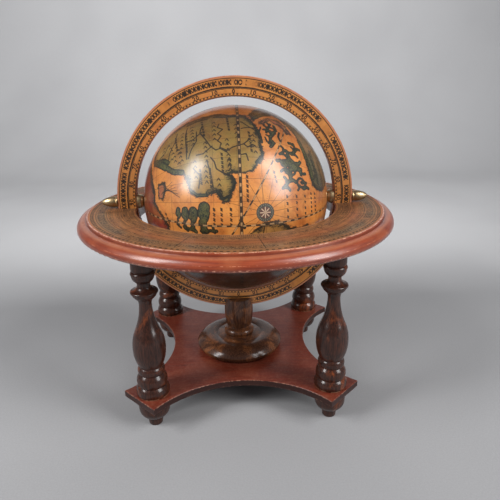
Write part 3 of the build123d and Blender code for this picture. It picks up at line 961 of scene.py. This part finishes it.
def paper_globe():
    """Twelve gores, each in two halves that meet at the equator."""
    material = map_print()
    halves = {"south": (POLE_GAP - 90, 0), "north": (0, 90 - POLE_GAP)}
    width = 360 // GORES
    for half, (south, north) in halves.items():
        for number in range(GORES):
            west = -180 + width * number
            sheet = gore(f"gore_{half}_{number + 1:02d}", south, north, west, west + width, material)
            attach(sheet, "globe")
            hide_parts(f"globe_map_{half}")


# ---- numerals ----
def numeral_mesh(value):
    """A number as a thin mesh, centred on the origin and facing +Z."""
    curve = bpy.data.curves.new("numeral", "FONT")
    curve.body = str(value)
    curve.size = NUMERAL_SIZE
    curve.align_x, curve.align_y = "CENTER", "CENTER"
    curve.space_character = 1.25
    curve.extrude = 0.01 * MM
    curve.offset = 0.13 * MM
    curve.resolution_u = 3
    text = bpy.data.objects.new("numeral", curve)
    mesh = bpy.data.meshes.new_from_object(text)
    bpy.data.objects.remove(text)
    return mesh


def degree_numerals(side, facing, material):
    """Every tenth degree round one face: 0 at the top and bottom, 90 at the poles."""
    normal = Vector((0, facing, 0))
    face = facing * max(abs(scale_low.y), abs(scale_high.y))
    vertices, faces = [], []
    for turn in range(0, 360, 10):
        out = Vector((math.sin(math.radians(turn)), 0, math.cos(math.radians(turn))))
        place = Matrix((out.cross(normal), out, normal)).transposed().to_4x4()
        place.translation = Vector((0, face, GLOBE_HEIGHT)) + out * NUMERAL_RADIUS
        from_top = turn % 180
        mesh = numeral_mesh(min(from_top, 180 - from_top))
        mesh.transform(place)
        offset = len(vertices)
        vertices += [tuple(v.co) for v in mesh.vertices]
        faces += [[offset + v for v in p.vertices] for p in mesh.polygons]
        bpy.data.meshes.remove(mesh)
    mesh = bpy.data.meshes.new(f"degree_numerals_{side}")
    mesh.from_pydata(vertices, [], faces)
    mesh.materials.append(material)
    piece = link_piece(mesh.name, mesh)
    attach(piece, "meridian")


# ---- finishes on the CAD nodes ----
def dress(node, material):
    """Gives a CAD node its finish."""
    for slot in frame["nodes"][node].material_slots:
        slot.material = material


def dress_by_slot():
    """Finishes for the record's material slots."""
    finishes = {
        "dark_wood": turned_wood("leg_wood", rgb(38, 19, 13), rgb(70, 37, 25), rgb(140, 70, 34), 0.03),
        "scale_print": meridian_print(),
        "horizon_print": horizon_print(),
        "core_board": core_board(),
        "brass": aged_brass(),
        "steel": plain_steel(),
    }
    for entry in frame["record"]["subparts"]:
        if entry["material_slot"] in finishes:
            dress(entry["node"], finishes[entry["material_slot"]])


def dress_by_node():
    """Finishes of the nodes that differ from others in their slot."""
    pedestal = turned_wood("pedestal_wood", rgb(52, 29, 19), rgb(88, 54, 34), rgb(140, 84, 46), 0.1)
    dress("pedestal_base", pedestal)
    dress("pedestal_column", pedestal)
    rim = [rgb(152, 64, 31), rgb(118, 44, 22), rgb(166, 88, 52)]
    dress("horizon_ring", painted_wood("rim_paint", *rim, rim_wear, coat=1.0))
    shelf = [rgb(112, 44, 28), rgb(84, 32, 22), rgb(124, 62, 44)]
    dress("shelf", painted_wood("shelf_paint", *shelf, shelf_wear, (0.06, 1.0, 1.0), coat=0.1))
    hoop = [rgb(176, 104, 74), rgb(140, 74, 50), rgb(196, 134, 100)]
    dress("meridian_ring", painted_wood("hoop_paint", *hoop, hoop_wear, (0.5, 1.0, 0.5)))


# ---- stage ----
def set_camera():
    """Camera in front, level with the top of the hoop and looking down at the stand."""
    position = Vector((-7.233, -348.07, 226.357)) * MM
    pitch, azimuth, roll = [math.radians(a) for a in (19.607, 2.744, -0.885)]
    flat = math.cos(pitch)
    forward = Vector((math.sin(azimuth) * flat, math.cos(azimuth) * flat, -math.sin(pitch)))
    level = Vector((math.cos(azimuth), -math.sin(azimuth), 0))
    upright = level.cross(forward)
    right = level * math.cos(roll) + upright * math.sin(roll)
    up = upright * math.cos(roll) - level * math.sin(roll)
    data = bpy.data.cameras.new("camera")
    data.sensor_width = 36
    data.lens = 35.8
    data.clip_start = 0.01
    camera = bpy.data.objects.new("camera", data)
    turned = Matrix((right, up, -forward)).transposed().to_4x4()
    camera.matrix_world = Matrix.Translation(position) @ turned
    bpy.context.scene.collection.objects.link(camera)
    bpy.context.scene.camera = camera


def softbox(name, direction, distance, size, power, aim=(0, 0, GLOBE_HEIGHT)):
    """Upright lamp, of a width and height, that faces a point and is not seen itself."""
    aim = Vector(aim)
    data = bpy.data.lights.new(name, "AREA")
    data.shape = "RECTANGLE"
    data.size, data.size_y = size
    data.energy = power
    lamp = bpy.data.objects.new(name, data)
    lamp.location = aim + Vector(direction).normalized() * distance
    lamp.rotation_euler = (aim - lamp.location).to_track_quat("-Z", "Y").to_euler()
    lamp.visible_camera = False
    bpy.context.scene.collection.objects.link(lamp)


def set_lights():
    """A softbox on each side, a lamp on the backdrop, and dim grey light all round."""
    softbox("softbox_left", (-0.74, -0.38, 0.52), 1.2, size=(0.36, 0.72), power=13.0)
    softbox("softbox_right", (0.68, -0.46, 0.48), 1.2, size=(0.46, 0.95), power=14.5)
    softbox("backdrop_light", (0, -1, 0.12), 0.9, size=(0.8, 0.8), power=9.5, aim=(0, 1.1, 0.55))
    world = bpy.data.worlds.new("studio")
    bpy.context.scene.world = world
    world.use_nodes = True
    world.node_tree.nodes["Background"].inputs[0].default_value = (0.17, 0.17, 0.18, 1)
    bpy.context.scene.view_settings.view_transform = "Standard"


def pale_cloth():
    """Grey cloth with a faint weave and broad soft patches of painted fold shade."""
    g = Graph("pale_cloth")
    weave = g.noise(0.9, 3, 0.7)
    fold_shade = g.noise(0.004, 2, 0.5)
    colour = g.mix(weave, rgb(148, 148, 149), rgb(173, 173, 175))
    # Painted shade of soft folds over the flat cloth.
    colour = g.mix(g.times(g.step(fold_shade, 0.35, 0.7), 0.35), colour, rgb(140, 140, 142))
    return g.finish(colour, 0.9, weave, 0.1)


def set_floor():
    """Pale cloth sweep: a floor that bends up into a wall well behind the object."""
    bend_start, bend_radius, wall_top, half_width = 0.75, 0.35, 2.2, 3.0
    bend_steps = 12
    profile = [(-half_width, 0.0)]
    for number in range(bend_steps + 1):
        turn = math.radians(90 * number / bend_steps)
        across = bend_start + bend_radius * math.sin(turn)
        profile.append((across, bend_radius * (1 - math.cos(turn))))
    profile.append((bend_start + bend_radius, wall_top))
    vertices = [(side * half_width, y, z) for y, z in profile for side in (-1, 1)]
    faces = [(2 * k, 2 * k + 1, 2 * k + 3, 2 * k + 2) for k in range(len(profile) - 1)]
    mesh = bpy.data.meshes.new("cloth_sweep")
    mesh.from_pydata(vertices, [], faces)
    mesh.polygons.foreach_set("use_smooth", [True] * len(faces))
    mesh.materials.append(pale_cloth())
    link_piece("cloth_sweep", mesh)


set_camera()
set_lights()
set_floor()
dress_by_slot()
dress_by_node()
paper_globe()
ink = numeral_ink()
degree_numerals("front", -1, ink)
degree_numerals("back", 1, ink)
